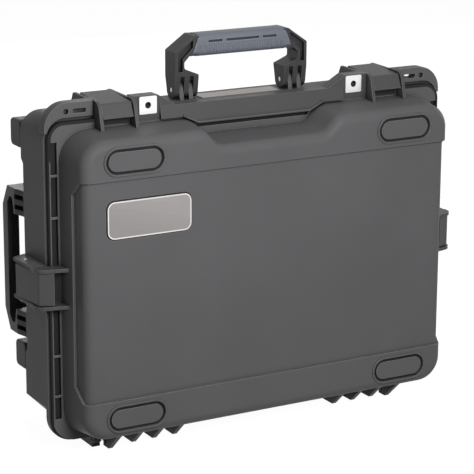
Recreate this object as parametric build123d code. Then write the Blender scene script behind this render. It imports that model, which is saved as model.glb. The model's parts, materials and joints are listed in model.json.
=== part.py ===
from build123d import *
import math
import os

# A hard-shell tool case that stands upright on its hinge side.
# X runs along the case, Y from the lid's face (-) to the back (+), Z up. Millimetres.
# The origin is on the floor, in the middle of the case's width and thickness.

# Whole case
CASE_W = 480.0          # across the flanges
CASE_D = 178.0          # lid face to the rear corner posts
FLANGE_Z0 = 12.7        # underside of the flanges above the floor
FLANGE_H = 346.0        # height of the flanges
WALL = 4.5              # moulded wall
PART_GAP = 0.4          # gap between the lid's rim and the base's rim

# Lid
LID_DEPTH = 53.4        # lid face to the parting plane
LID_MARGIN = 19.5       # flange left showing at each side of the lid's face
LID_Z0 = 25.8           # lower edge of the lid's face
LID_Z1 = 341.7          # upper edge of the lid's face
LID_DRAFT = 7.0         # degrees of draft on the lid's sides
LID_CORNER = 26.0       # corner radius of the lid's face
LID_EDGE = 11.0         # rounding round the lid's face
LID_FLOOR = 7.0         # thickness of the lid behind its bands
LID_FLANGE_T = 6.5
LID_FLANGE_STEP = 2.4   # the lid's flange stands in from the base's all round
WAIST_HALF = 64.0       # half width of the lowered top between the latches
WAIST_RAMP = 17.7       # rise and run of its 45 degree ends
WAIST_ROUND = 16.0
WAIST_REACH = 1.6       # the ramps run on past the top edge, in ramps
PANEL_Z0 = 67.0         # lower step of the recessed panel
PANEL_Z1 = 301.0        # upper step of the recessed panel
PANEL_STEP = 3.0        # depth of the panel
PANEL_SIDE_STEP = 2.4   # its depth on the lid's sides
PANEL_WRAP = 23.5       # how far the panel runs round the lid's sides
PANEL_CHAMFER = 15.0
OVAL_X = 163.0          # centre of the four oval ring grooves
OVAL_INSET = 21.4       # their height inside the lid's face
OVAL_L = 65.0
OVAL_H = 25.5
OVAL_GROOVE = 2.8
OVAL_DEPTH = 2.2
CHANNEL_W = 7.5         # channel between the lid's side and its flange lip
CHANNEL_LIP = 2.0
CHANNEL_DEPTH = 4.0
WEB_T = 2.5             # webs across the channel
WEB_OFFSETS = (74.0, 118.0)

# Apron and padlock tabs
APRON_D = 11.0          # front of the apron to the parting plane
APRON_TOP = 363.0
APRON_LOW = 341.0       # underside of the apron's lip over the waist
APRON_LOW_HALF = 68.0
APRON_SIDE_LOW = 349.5
APRON_SIDE_HALF = 86.0
APRON_SLOPE = 3.6       # how far the apron's top leans back
APRON_FOOT = 5.0        # plain foot of the apron's face below the lean
APRON_HEAD = 12.0       # plain head of its face above the lean
GROOVE_H = 4.5          # groove in the flange under the apron's lip
GROOVE_D = 3.8
TAB_X = 125.0           # padlock hole
TAB_Z = 365.2
TAB_TOP = 375.5
TAB_IN = 114.0          # inner top corner of a tab
TAB_FOOT = 93.0         # foot of its sloped inner edge
TAB_T = 6.6             # thickness of each tab behind its steel plate
TAB_SEAT = 14.0         # inner edge of a plate's seat to the padlock hole
PADLOCK_R = 3.5
PLATE_W = 20.0
PLATE_H = 18.5
PLATE_T = 1.2
PLATE_ROUND = 1.5
SHACKLE_ROOM = 9.0      # room behind the base's padlock tabs

# Base
BAND_D = 52.6           # parting plane to the rear edge of the band, beside the handles
BAND_CORNER_EXTRA = 5.0 # the band is deeper at its four corners
BAND_CORNER_Z = (97.0, 309.0)
BAND_Z0 = 16.0
BAND_CORNER = 22.0
BAND_CHAMFER = 36.0     # lower corners of the band
BASE_FLANGE_T = 6.0
BODY_INSET = 24.0       # flange edge to the side of the rear body
BODY_START = 25.0       # the rear body starts this far inside the band
BODY_Z0 = 25.0
BODY_Z1 = 345.0
BODY_CORNER = 26.0
BODY_DRAFT = 2.0
BODY_EDGE = 9.0
BODY_BACK = 3.6         # the back face lies this far inside the corner posts
CAVITY_STEP = 1.5       # inside of the base's rim to the side of the rear body
CAVITY_Z0 = 26.0
CAVITY_Z1 = 341.5
CAVITY_CORNER = 24.0
CAVITY_DRAFT = 3.5
SKIRT_T = 3.5           # skirt of the band, hollow from behind
SKIRT_WEB_T = 3.0
SKIRT_WEB_Z = (22.0, 60.0, 98.0)    # webs across the skirt, above and below the middle
POST_PROUD = 7.0        # the rear corner posts stand out this far from the rear body
POST_ROOT = 20.0
POST_L = 27.0
POST_H = 30.0
POST_LOW = 62.0         # lower end of the lower posts
POST_HIGH = 309.0       # lower end of the upper posts
POST_ROUND = 6.0
FLANGE_CORNER = 28.0
LID_FLANGE_CORNER = 20.0

# Corner guards with strap slots
GUARD_TOP = 375.4
GUARD_CORNER = 26.0
GUARD_T = 9.0
GUARD_DROP = 4.0        # straight length of the guard below its corner
GUARD_LIP = 4.0         # its outer strip stands forward of the parting line
GUARD_LIP_Z = 360.0     # underside of the strip, over the lid's flange
GUARD_LIP_END = 1.8     # width of the strip at its lower end
GUARD_LIP_R = 20.0
STRAP_X = 201.0
STRAP_Z = 366.2
STRAP_L = 16.0
STRAP_H = 4.6
GUARD_HOLE_X = 216.0
GUARD_HOLE_R = 3.0
GUARD_HOLE_DEPTH = 4.0

# Hinge
HINGE_Z = 9.0
HINGE_PIN_R = 2.0
KNUCKLE_R = 4.4
RUN_CLEAR = 0.06        # radial running clearance on pins
SEAT_CLEAR = 0.02       # radial seat clearance on pins
LID_RIB_X = (101.0, 125.5, 150.0)
LID_FOOT_X = 175.0
RIB_T = 5.0
BASE_RIB_X = (113.25, 137.75, 162.5)
BASE_RIB_T = 8.0
BASE_FOOT_X = 186.0
BASE_FOOT_T = 9.0
BASE_FOOT_BACK = 29.0   # rear end of the standing feet to the back of the case
BASE_RIB_RISE = 12.0
RIB_FRONT = 11.3        # where the ribs start behind the lid's face
KNUCKLE_CLEAR = 0.8

# Latches: heights are measured out from the flange's edge
LATCH_X = 163.6
LEVER_W = 34.0
LEVER_FRONT = 35.4      # lid face to the lower edge of the lever's face
LEVER_LEAN = 6.4        # how far the face leans back
LEVER_BROW = 13.4       # height of the lever's front edge
LEVER_TOP = 17.2        # height of its rear edge
LEVER_BACK = 91.3       # lid face to the lever's rear edge
LEVER_LIP = -1.4        # lower edge of the lever's face
LEVER_SKIN = 3.0
LEVER_SIDE = 2.5
LEVER_FLOOR = 1.2       # underside of its side walls
LEVER_ROUND = 2.5
LATCH_GAP = 1.0         # lever to the guard plates beside it
LATCH_GUARD_T = 3.6
LATCH_GUARD_TOP = 16.3
LATCH_GUARD_ROOT = 17.0 # the lid's guards reach this far down the flange
LATCH_PIN_R = 2.0
LATCH_PIN_Y = 86.0      # lid face to the latch pin
LATCH_PIN_H = 8.0
LATCH_KNUCKLE_R = 6.5
HOOK_W = 20.0
HOOK_PIN_R = 1.5
HOOK_PIN_Y = 62.0
HOOK_PIN_H = 7.6
HOOK_BOSS_R = 3.2
HOOK_GAP = 1.0          # claw to the top of the lid's flange

# Folding handles
HANDLE_W = 160.0
HANDLE_FRONT = 11.3     # pin axis to the handle's front face
HANDLE_BACK = 12.7      # pin axis to its back face
HANDLE_RISE = 57.0      # pin axis to the top of the handle
HANDLE_SHOULDER = 41.0  # height of its outer corners
HANDLE_TOP_HALF = 57.0
HANDLE_FOOT = 9.4       # radius of the arms' feet about the pin
HANDLE_FLARE = 14.0     # height where the arms reach their full depth
CLEVIS_W = 27.5
SLOT_W = 5.4
SLOT_RISE = 15.0
LUG_CLEAR = 0.4
LUG_R = 8.3
HANDLE_PIN_R = 2.5
GRIP_HALF = 52.0        # half length of the grip along its top
GRIP_H = 22.0
GRIP_SLANT = 9.0        # the grip's ends run outward towards its underside
GRIP_ROUND = 6.5
GRIP_PROUD = 0.9
GRIP_SLOTS = ((-41.5, -24.5), (-20.0, 20.0), (24.5, 41.5))
GRIP_SLOT_Z = 50.4      # height of the slots in the grip's front
GRIP_SLOT_H = 2.7
GRIP_SLOT_D = 2.0
ARM_W = 10.5            # width of a handle's arms at the shoulder
ARM_KNEE = 7.0          # corner cut between an arm and the bar
ARM_HEEL = 11.0         # slots' upper end to the arm's narrow part
ARM_ROUND = 3.0
POCKET_RIM = 3.0        # rim left outside the pockets in the arms' faces
POCKET_W = 5.5
POCKET_D = 5.0
SIDE_RISE = 46.0        # the side handles are lower and have a plain slim bar
SIDE_SHOULDER = 33.0
SIDE_BAR_H = 14.0
SIDE_BAR_STEP = 10.7    # the bar's face lies this far behind the arms' faces
TOP_HANDLE_BACK = 28.2  # parting plane to the top handle's pins
TOP_HANDLE_Z = 371.0
SIDE_HANDLE_OUT = 10.0  # side of the rear body to the side handles' pins
SIDE_HANDLE_BACK = 66.6 # parting plane to the side handles' pins
SIDE_HANDLE_Z = 191.0
HANDLE_ROOM = 1.8       # room between a folded handle and the case's side
SCOOP_D = 17.0          # depth of the finger scoop behind a side handle
SCOOP_HALF = 46.0
BULGE_RAMP = 8.0        # slopes of the inside walls round the handle recesses
LAND_HALF = 91.0
LAND_Z = 361.0
LAND_D = 49.4           # parting plane to the rear of the handle's land

# Plates and seal
NAME_X = -145.7
NAME_Z = 259.5
NAME_W = 95.5
NAME_H = 39.0
NAME_ROUND = 8.0
NAME_T = 1.2
NAME_EDGE = 1.3         # width of the groove round the name plate
LABEL_W = 98.0
LABEL_D = 26.0
LABEL_BACK = 27.6       # parting plane to the middle of the label
LABEL_T = 0.6
SEAL_W = 4.0
SEAL_T = 3.2
SEAL_INSET = 1.6        # from the inner edge of the lid's rim

# Worked out from the sizes above
FRONT_Y = -CASE_D / 2
BACK_Y = CASE_D / 2
PART_Y = FRONT_Y + LID_DEPTH
LID_BACK = PART_Y - PART_GAP / 2
BASE_FRONT = PART_Y + PART_GAP / 2
FLANGE_Z1 = FLANGE_Z0 + FLANGE_H
SIDE_LATCH_Z = FLANGE_Z0 + FLANGE_H / 2
LID_W = CASE_W - 2 * LID_MARGIN
BODY_W = CASE_W - 2 * BODY_INSET
CAVITY_W = BODY_W - 2 * CAVITY_STEP
POST_X = BODY_W / 2 + POST_PROUD
TOP_HANDLE_Y = PART_Y + TOP_HANDLE_BACK
SIDE_HANDLE_X = BODY_W / 2 + SIDE_HANDLE_OUT
SIDE_HANDLE_Y = PART_Y + SIDE_HANDLE_BACK
SCOOP_X = BODY_W / 2 - SCOOP_D
LABEL_Y = PART_Y + LABEL_BACK
TAB_OUT = LATCH_X - LEVER_W / 2 - LATCH_GAP - LATCH_GUARD_T
MID_Z = (LID_Z0 + LID_Z1) / 2
BODY_Y1 = BACK_Y - BODY_BACK
BAND_Y1 = PART_Y + BAND_D
EDGE_X = CASE_W / 2
DRAFT_RISE = math.tan(math.radians(LID_DRAFT))
FAR = 400.0


def facing(y):
    """Plane across the case at y that looks at the viewer, X right and Z up."""
    return Plane(origin=(0, y, 0), x_dir=(1, 0, 0), z_dir=(0, -1, 0))


def away(y):
    """Plane across the case at y that looks to the back."""
    return Plane(origin=(0, y, 0), x_dir=(-1, 0, 0), z_dir=(0, 1, 0))


def slab(sketch, y0, y1):
    """A front-view sketch made solid from y0 back to y1."""
    return extrude(facing(y1) * sketch, amount=y1 - y0)


def across(profile, x, width):
    """A side-view sketch, Y right and Z up, made solid about x."""
    return extrude(Plane.YZ.offset(x - width / 2) * profile, amount=width)


def shape(*points):
    return make_face(Polyline(*points, close=True))


def upright_rect(width, z0, z1, radius):
    return Pos(0, (z0 + z1) / 2) * RectangleRounded(width, z1 - z0, radius)


def block(x0, x1, y0, y1, z0, z1):
    return Pos((x0 + x1) / 2, (y0 + y1) / 2, (z0 + z1) / 2) * Box(x1 - x0, y1 - y0, z1 - z0)


def rod_x(x0, x1, y, z, radius):
    """A round bar along X."""
    return Pos((x0 + x1) / 2, y, z) * Rot(0, 90, 0) * Cylinder(radius, x1 - x0)


def both_sides(solid):
    return solid + mirror(solid, about=Plane.YZ)


def both_sides_2d(sketch):
    return sketch + mirror(sketch, about=Plane.YZ)


def lid_outline(inset=0.0):
    """The lid's face, with the lowered waist in its top edge."""
    half = LID_W / 2
    waist_z = LID_Z1 - WAIST_RAMP
    face = upright_rect(LID_W, LID_Z0, LID_Z1, LID_CORNER)
    reach = WAIST_RAMP * WAIST_REACH
    notch = shape(
        (-WAIST_HALF - reach, waist_z + reach), (-WAIST_HALF, waist_z),
        (WAIST_HALF, waist_z), (WAIST_HALF + reach, waist_z + reach),
    )
    face = face - notch
    corners = [v for v in face.vertices() if abs(v.X) < half - 2 * LID_CORNER and v.Y > MID_Z]
    face = fillet(corners, WAIST_ROUND)
    return offset(face, amount=-inset) if inset else face


def lid_form(start, inset, length, edge):
    """The drafted lid block from start behind its face, rounded round its front."""
    form = extrude(away(FRONT_Y + start) * lid_outline(inset), amount=length, taper=-LID_DRAFT)
    if edge:
        form = fillet(form.faces().sort_by(Axis.Y)[0].edges(), edge)
    return form


def panel_recess():
    """What the wrapped, recessed panel takes off the lid."""
    y_wrap = FRONT_Y + PANEL_WRAP
    y_turn = y_wrap - PANEL_CHAMFER
    window = across(
        shape(
            (FRONT_Y - 5, PANEL_Z0),
            (y_turn, PANEL_Z0),
            (y_wrap, PANEL_Z0 + PANEL_CHAMFER),
            (y_wrap, PANEL_Z1 - PANEL_CHAMFER),
            (y_turn, PANEL_Z1),
            (FRONT_Y - 5, PANEL_Z1),
        ),
        0,
        CASE_W,
    )
    inner = lid_form(PANEL_STEP, PANEL_SIDE_STEP, LID_DEPTH, LID_EDGE - PANEL_STEP / 2)
    return window - inner


def oval_grooves():
    ring = SlotOverall(OVAL_L, OVAL_H) - SlotOverall(OVAL_L - 2 * OVAL_GROOVE, OVAL_H - 2 * OVAL_GROOVE)
    places = [
        (x, z)
        for x in (-OVAL_X, OVAL_X)
        for z in (LID_Z0 + OVAL_INSET, LID_Z1 - OVAL_INSET)
    ]
    return Sketch() + [Pos(x, z) * ring for x, z in places]


def flange_outline(top_corner):
    """Outer outline of a flange: straight sides, large lower corners."""
    outline = Pos(0, FLANGE_Z0 + FLANGE_H / 2) * Rectangle(CASE_W, FLANGE_H)
    low = [v for v in outline.vertices() if v.Y < MID_Z]
    outline = fillet(low, FLANGE_CORNER)
    high = outline.vertices().sort_by(Axis.Y)[-2:]
    return fillet(high, top_corner)


def lid_flange():
    outline = offset(flange_outline(LID_FLANGE_CORNER), amount=-LID_FLANGE_STEP)
    return slab(outline, LID_BACK - LID_FLANGE_T, LID_BACK)


def flange_channel():
    """Channels down the front of the lid's flange, crossed by small webs."""
    outer = EDGE_X - LID_FLANGE_STEP - CHANNEL_LIP
    z0 = FLANGE_Z0 + FLANGE_CORNER
    z1 = FLANGE_Z1 - LID_FLANGE_CORNER - LID_FLANGE_STEP
    y0 = LID_BACK - LID_FLANGE_T
    channel = block(outer - CHANNEL_W, outer, y0 - 1, y0 + CHANNEL_DEPTH, z0, z1)
    for z in [MID_Z + s * d for s in (-1, 1) for d in WEB_OFFSETS]:
        channel -= block(outer - CHANNEL_W - 1, outer + 1, y0, LID_BACK, z - WEB_T / 2, z + WEB_T / 2)
    keep = SIDE_LATCH_Z
    reach = LEVER_W / 2 + LATCH_GAP + LATCH_GUARD_T
    channel -= block(outer - CHANNEL_W - 1, outer + 1, y0, LID_BACK, keep - reach, keep + reach)
    return both_sides(channel)


def tab_outline():
    """Padlock tabs with the sloped inner edges, joined across the middle."""
    return shape(
        (-TAB_OUT, APRON_SIDE_LOW), (-TAB_OUT, TAB_TOP), (-TAB_IN, TAB_TOP), (-TAB_FOOT, APRON_TOP),
        (TAB_FOOT, APRON_TOP), (TAB_IN, TAB_TOP), (TAB_OUT, TAB_TOP), (TAB_OUT, APRON_SIDE_LOW),
    )


def apron():
    """The thick lip over the waist: chamfered ends and a face that leans back."""
    y0 = PART_Y - APRON_D
    outline = tab_outline() + shape(
        (-APRON_SIDE_HALF, APRON_SIDE_LOW), (-APRON_LOW_HALF, APRON_LOW),
        (APRON_LOW_HALF, APRON_LOW), (APRON_SIDE_HALF, APRON_SIDE_LOW),
        (APRON_SIDE_HALF, APRON_TOP), (-APRON_SIDE_HALF, APRON_TOP),
    )
    lean = across(
        shape(
            (y0, APRON_LOW - 1), (y0, APRON_LOW + APRON_FOOT), (y0 + APRON_SLOPE, TAB_TOP - APRON_HEAD),
            (y0 + APRON_SLOPE, TAB_TOP + 1), (LID_BACK, TAB_TOP + 1), (LID_BACK, APRON_LOW - 1),
        ),
        0,
        CASE_W,
    )
    seat = block(TAB_X - TAB_SEAT, TAB_OUT + 1, y0 - 1, LID_BACK - TAB_T, APRON_LOW, TAB_TOP + 1)
    return (slab(outline, y0, LID_BACK) & lean) - both_sides(seat)


def lip_groove():
    """Groove in the lid's flange under the apron's lip."""
    y0 = LID_BACK - LID_FLANGE_T
    return block(-APRON_LOW_HALF, APRON_LOW_HALF, y0 - 1, y0 + GROOVE_D, APRON_LOW - GROOVE_H, APRON_LOW)


def padlock_holes():
    hole = Pos(TAB_X, TAB_Z) * Circle(PADLOCK_R)
    return slab(both_sides_2d(hole), PART_Y - 30, PART_Y + 30)


def plate_pair(y0):
    """Two steel padlock plates, their front faces at y0."""
    plate = Pos(TAB_X, TAB_Z) * (RectangleRounded(PLATE_W, PLATE_H, PLATE_ROUND) - Circle(PADLOCK_R))
    return slab(both_sides_2d(plate), y0, y0 + PLATE_T)


def latch_places():
    """Moves a latch built at the flange's edge to its four places."""
    return {
        "top_left": Pos(-LATCH_X, 0, FLANGE_Z1),
        "top_right": Pos(LATCH_X, 0, FLANGE_Z1),
        "side_left": Pos(-EDGE_X, 0, SIDE_LATCH_Z) * Rot(0, -90, 0),
        "side_right": Pos(EDGE_X, 0, SIDE_LATCH_Z) * Rot(0, 90, 0),
    }


def guard_pair(profile):
    """The two guard plates beside a lever."""
    x = LEVER_W / 2 + LATCH_GAP + LATCH_GUARD_T / 2
    plate = across(profile, x, LATCH_GUARD_T)
    return both_sides(plate)


def lid_guard_profile():
    """A guard plate on the lid: a face that leans back and a rounded nose."""
    root, low, high = -LATCH_GUARD_ROOT, FRONT_Y + 30.5, FRONT_Y + 36.5
    shoulder = (high, 7.5)
    peak = (high + 10.0, LATCH_GUARD_TOP)
    edge = Line((low, root), shoulder)
    nose = RadiusArc(shoulder, peak, 11.5)
    rest = Polyline(peak, (LID_BACK, LATCH_GUARD_TOP), (LID_BACK, root), (low, root))
    return make_face([edge, nose, rest])


def base_guard_profile():
    root = -SKIRT_T
    peak = FRONT_Y + LATCH_PIN_Y + 13.0
    return shape(
        (BASE_FRONT, root), (BASE_FRONT, LATCH_GUARD_TOP - 0.8), (peak, LATCH_GUARD_TOP),
        (BAND_Y1, 2.0), (BAND_Y1, root),
    )


def knuckle_profile(radius, web):
    """A knuckle round the hinge pin with its web, in side view."""
    return Pos(PART_Y, HINGE_Z) * Circle(radius) + web


def lid_rib(bottom):
    y0 = FRONT_Y + RIB_FRONT
    toe = y0 + (LID_Z0 - bottom) * 1.15
    web = shape((y0, LID_Z0 + 1), (toe, bottom), (PART_Y, bottom), (PART_Y, HINGE_Z),
                (LID_BACK, FLANGE_Z0 + 2), (LID_BACK, LID_Z0 - 4))
    return knuckle_profile(KNUCKLE_R, web)


def base_rib(bottom, back):
    toe = back - BASE_RIB_RISE
    web = shape((PART_Y, bottom), (toe, bottom), (back, BODY_Z0 + 1), (BASE_FRONT, BODY_Z0 + 1),
                (BASE_FRONT, FLANGE_Z0 + 2), (PART_Y, HINGE_Z))
    return knuckle_profile(KNUCKLE_R, web)


def hinge_room(places, width):
    """Round clearance about the hinge for the other shell's knuckles."""
    room = [rod_x(x - width / 2 - 0.4, x + width / 2 + 0.4, PART_Y, HINGE_Z, KNUCKLE_R + KNUCKLE_CLEAR)
            for x in places]
    return both_sides(Part() + room)


def lid_ribs():
    small = [across(lid_rib(HINGE_Z - KNUCKLE_R), x, RIB_T) for x in LID_RIB_X]
    tall = across(lid_rib(0.0), LID_FOOT_X, RIB_T)
    return both_sides(Part() + small + tall)


def hinge_bore(clearance):
    return rod_x(-EDGE_X, EDGE_X, PART_Y, HINGE_Z, HINGE_PIN_R + clearance)


def rim_inset():
    """Inset of the lid's cavity at the parting plane, measured from the face outline."""
    return WALL - LID_DEPTH * DRAFT_RISE


def seal_ring():
    """The gasket's path: it follows the inner edge of the lid's rim."""
    inner = rim_inset() - SEAL_INSET
    return lid_outline(inner - SEAL_W) - lid_outline(inner)


def make_lid_shell():
    lid = lid_form(0, 0, LID_DEPTH - PART_GAP / 2, LID_EDGE)
    lid -= panel_recess()
    lid -= slab(oval_grooves(), FRONT_Y - 1, FRONT_Y + OVAL_DEPTH)
    lid -= slab(name_groove(), FRONT_Y - 1, FRONT_Y + PANEL_STEP + NAME_T)
    lid += lid_flange() - flange_channel() - lip_groove()
    lid += lid_ribs()
    lid -= hinge_room(BASE_RIB_X, BASE_RIB_T)
    lid -= hinge_room((BASE_FOOT_X,), BASE_FOOT_T)
    lid -= hinge_bore(RUN_CLEAR)
    cavity = lid_form(LID_FLOOR, WALL - LID_FLOOR * DRAFT_RISE, LID_DEPTH, 0)
    lid -= cavity
    lid -= slab(seal_ring(), LID_BACK - SEAL_T, LID_BACK + 1)
    return lid


def lid_envelope():
    """The lid and its flange as one full block, which the parts outside are seated on."""
    return lid_form(0, 0, LID_DEPTH - PART_GAP / 2, 0) + lid_flange()


def make_lid_apron():
    """The apron and the lid's padlock tabs, hooked over the flange."""
    return apron() - lid_envelope() - padlock_holes()


def make_lid_latch_guards():
    """Eight guard plates seated on the lid and its flange."""
    guards = guard_pair(lid_guard_profile())
    return Part() + [place * guards for place in latch_places().values()] - lid_envelope()


def base_flange():
    """The base's rim flange with its corner guards."""
    plate = slab(flange_outline(BAND_CORNER), BASE_FRONT, BASE_FRONT + BASE_FLANGE_T)
    return plate + both_sides(corner_guard())


def make_base_tabs():
    """The base's padlock tabs and the rail between them, on top of its flange."""
    reach = block(-TAB_OUT, TAB_OUT, BASE_FRONT, BASE_FRONT + TAB_T, FLANGE_Z1, TAB_TOP)
    return (slab(tab_outline(), BASE_FRONT, BASE_FRONT + TAB_T) & reach) - padlock_holes()


def guard_outline(inner):
    """Front outline of the right-hand corner guard, from x = inner out to the corner."""
    end_z = GUARD_TOP - GUARD_CORNER - GUARD_DROP
    outline = shape((inner, end_z), (inner, GUARD_TOP), (EDGE_X, GUARD_TOP), (EDGE_X, end_z))
    return fillet(outline.vertices().sort_by(Axis.X)[-2:].sort_by(Axis.Y)[-1], GUARD_CORNER)


def corner_guard():
    """Raised bar round a top corner, with a strap slot and a blind hole."""
    inner = LATCH_X + LEVER_W / 2 + LATCH_GAP
    y0, y1 = BASE_FRONT - GUARD_LIP, BASE_FRONT + GUARD_T
    bar = slab(guard_outline(inner), BASE_FRONT, y1)
    room = upright_rect(CASE_W - 2 * GUARD_LIP_END, FLANGE_Z0, GUARD_LIP_Z, GUARD_LIP_R)
    bar += slab(guard_outline(inner + LATCH_GUARD_T + LATCH_GAP) - room, y0, BASE_FRONT)
    bar -= slab(Pos(STRAP_X, STRAP_Z) * SlotOverall(STRAP_L, STRAP_H), y0 - 1, y1 + 1)
    return bar - slab(Pos(GUARD_HOLE_X, STRAP_Z) * Circle(GUARD_HOLE_R), y0 - 1, y0 + GUARD_HOLE_DEPTH)


def band_form():
    """The smooth band behind the parting line, deeper at its four corners."""
    outline = upright_rect(CASE_W, BAND_Z0, FLANGE_Z1 - 0.2, BAND_CORNER)
    low = EDGE_X - BAND_CHAMFER
    corner = shape((EDGE_X + 1, BAND_Z0 - 1), (EDGE_X + 1, BAND_Z0 + BAND_CHAMFER), (low, BAND_Z0 - 1))
    outline -= both_sides_2d(corner)
    band = slab(outline, BASE_FRONT, BAND_Y1 + BAND_CORNER_EXTRA)
    z0, z1 = BAND_CORNER_Z
    ramp = BAND_CORNER_EXTRA
    y1 = BAND_Y1 + ramp
    step = shape((BAND_Y1, z0 + ramp), (BAND_Y1, z1 - ramp), (y1 + 1, z1 + 1), (y1 + 1, z0 - 1))
    step = across(step, 0, 2 * CASE_W)
    top = block(-LATCH_X - LEVER_W, LATCH_X + LEVER_W, BAND_Y1, y1 + 1, BODY_Z1 - BODY_CORNER, GUARD_TOP)
    land = block(-LAND_HALF, LAND_HALF, BASE_FRONT + TAB_T, BASE_FRONT + LAND_D, BODY_Z1, LAND_Z)
    return band - step - top + land


def skirt_channel():
    """The hollow behind the band's skirt, crossed by webs, open to the back."""
    wall = CAVITY_W / 2 + WALL
    outer = upright_rect(CASE_W - 2 * SKIRT_T, POST_LOW, FLANGE_Z1 - SKIRT_T - 0.2, BAND_CORNER - SKIRT_T)
    inner = upright_rect(2 * wall, CAVITY_Z0 - WALL, CAVITY_Z1 + WALL, CAVITY_CORNER + WALL)
    y0 = BASE_FRONT + BASE_FLANGE_T
    y1 = BAND_Y1 + BAND_CORNER_EXTRA + 1
    channel = slab(outer - inner, y0, y1)
    t = SKIRT_WEB_T / 2
    for z in [MID_Z + s * d for s in (-1, 1) for d in SKIRT_WEB_Z]:
        channel -= block(-EDGE_X, EDGE_X, y0 - 1, BAND_Y1 - 2, z - t, z + t)
    reach = HANDLE_W / 2 - CLEVIS_W / 2
    beside = LEVER_W / 2 + LATCH_GAP + LATCH_GUARD_T / 2
    columns = [reach, LATCH_X - beside, LATCH_X + beside]
    for x in [s * c for s in (-1, 1) for c in columns]:
        wide = CLEVIS_W / 2 if abs(x) == reach else t
        channel -= block(x - wide, x + wide, y0 - 1, BAND_Y1 - 2, BODY_Z1 - 10, LAND_Z)
    return channel


def body_form():
    """The rear body: drafted sides, rounded back edges, four corner posts."""
    outline = upright_rect(BODY_W, BODY_Z0, BODY_Z1, BODY_CORNER)
    y0 = BAND_Y1 - BODY_START
    body = extrude(away(y0) * outline, amount=BODY_Y1 - y0, taper=BODY_DRAFT)
    body = fillet(body.faces().sort_by(Axis.Y)[-1].edges(), BODY_EDGE)
    for z0 in (POST_LOW, POST_HIGH):
        post = block(POST_X - POST_ROOT, POST_X, BACK_Y - POST_L, BACK_Y, z0, z0 + POST_H)
        post = fillet(post.edges().filter_by(Axis.X), POST_ROUND)
        outer = post.faces().sort_by(Axis.X)[-1]
        post = fillet(outer.edges(), POST_ROUND / 3)
        body += both_sides(post)
    return body


def base_cavity():
    """The inside of the base, drafted, narrowed beside the handle recesses."""
    outline = upright_rect(CAVITY_W, CAVITY_Z0, CAVITY_Z1, CAVITY_CORNER)
    depth = BODY_Y1 - WALL - PART_Y + 1
    cavity = extrude(away(PART_Y - 1) * outline, amount=depth, taper=CAVITY_DRAFT)
    y0 = BAND_Y1 - 2 * BULGE_RAMP
    shallow = handle_recess_x() - WALL
    for x, half in ((shallow, HANDLE_W / 2 + BULGE_RAMP), (SCOOP_X - WALL, SCOOP_HALF + WALL)):
        wide = half + BULGE_RAMP
        side = shape((y0, SIDE_HANDLE_Z - wide), (y0, SIDE_HANDLE_Z + wide),
                     (BACK_Y, SIDE_HANDLE_Z + half), (BACK_Y, SIDE_HANDLE_Z - half))
        cavity -= both_sides(across(side, (x + EDGE_X) / 2, EDGE_X - x))
    return cavity


def handle_recess_x():
    """The case's side under a folded side handle."""
    return SIDE_HANDLE_X - HANDLE_BACK - HANDLE_ROOM


def side_recess():
    """Recess for a folded side handle, with the deeper finger scoop."""
    half = HANDLE_W / 2 + 3.0
    x0 = handle_recess_x()
    flat = block(x0, EDGE_X, BAND_Y1, BACK_Y + 1, SIDE_HANDLE_Z - half, SIDE_HANDLE_Z + half)
    scoop = slab(Pos((SCOOP_X + EDGE_X) / 2, SIDE_HANDLE_Z) * Rectangle(EDGE_X - SCOOP_X, 2 * SCOOP_HALF),
                 BAND_Y1 + 3, BACK_Y + 1)
    return both_sides(flat + scoop)


def handle_lugs(land):
    """Four lugs for a handle whose pin lies along X through the origin."""
    lug = Circle(LUG_R) + shape((-LUG_R, 0), (-LUG_R - 2, land), (LUG_R + 2, land), (LUG_R, 0))
    lugs = [across(lug, x, SLOT_W - 2 * LUG_CLEAR) for x in slot_places()]
    return both_sides(Part() + lugs) - rod_x(-HANDLE_W, HANDLE_W, 0, 0, HANDLE_PIN_R + SEAT_CLEAR)


def slot_places():
    """Middles of the two slots in the right-hand clevis."""
    finger = (CLEVIS_W - 2 * SLOT_W) / 3
    inner = HANDLE_W / 2 - CLEVIS_W
    return [inner + finger + SLOT_W / 2, inner + 2 * finger + SLOT_W * 1.5]


def handle_places():
    """Moves a handle, built upright about its pin, to its three places."""
    top = Pos(0, TOP_HANDLE_Y, TOP_HANDLE_Z)
    left = Plane(origin=(-SIDE_HANDLE_X, SIDE_HANDLE_Y, SIDE_HANDLE_Z), x_dir=(0, 0, -1), z_dir=(0, 1, 0))
    right = Plane(origin=(SIDE_HANDLE_X, SIDE_HANDLE_Y, SIDE_HANDLE_Z), x_dir=(0, 0, 1), z_dir=(0, 1, 0))
    return {"top": top, "side_left": left.location, "side_right": right.location}


def make_base_shell():
    base = base_flange() + band_form() - skirt_channel()
    base += body_form()
    base -= side_recess()
    places = handle_places()
    base += places["top"] * handle_lugs(LAND_Z - TOP_HANDLE_Z - 1.5)
    base += both_sides(side_lug_frame() * handle_lugs(handle_recess_x() - SIDE_HANDLE_X - 1.5))
    for place in latch_places().values():
        base += place * guard_pair(base_guard_profile())
    bore = rod_x(-LEVER_W, LEVER_W, FRONT_Y + LATCH_PIN_Y, LATCH_PIN_H, LATCH_PIN_R + SEAT_CLEAR)
    for place in latch_places().values():
        base -= place * bore
    base += base_ribs()
    base -= hinge_room(LID_RIB_X, RIB_T)
    base -= hinge_room((LID_FOOT_X,), RIB_T)
    base -= hinge_bore(SEAT_CLEAR)
    base -= plate_room()
    base -= base_cavity()
    return base


def plate_room():
    """Room in the band's top for the padlock plates and a shackle."""
    low = TAB_Z - PLATE_H / 2 - 0.3
    half = PLATE_W / 2 + 0.5
    y0 = BASE_FRONT + TAB_T
    return both_sides(block(TAB_X - half, TAB_X + half, y0, y0 + SHACKLE_ROOM, low, GUARD_TOP))


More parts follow.
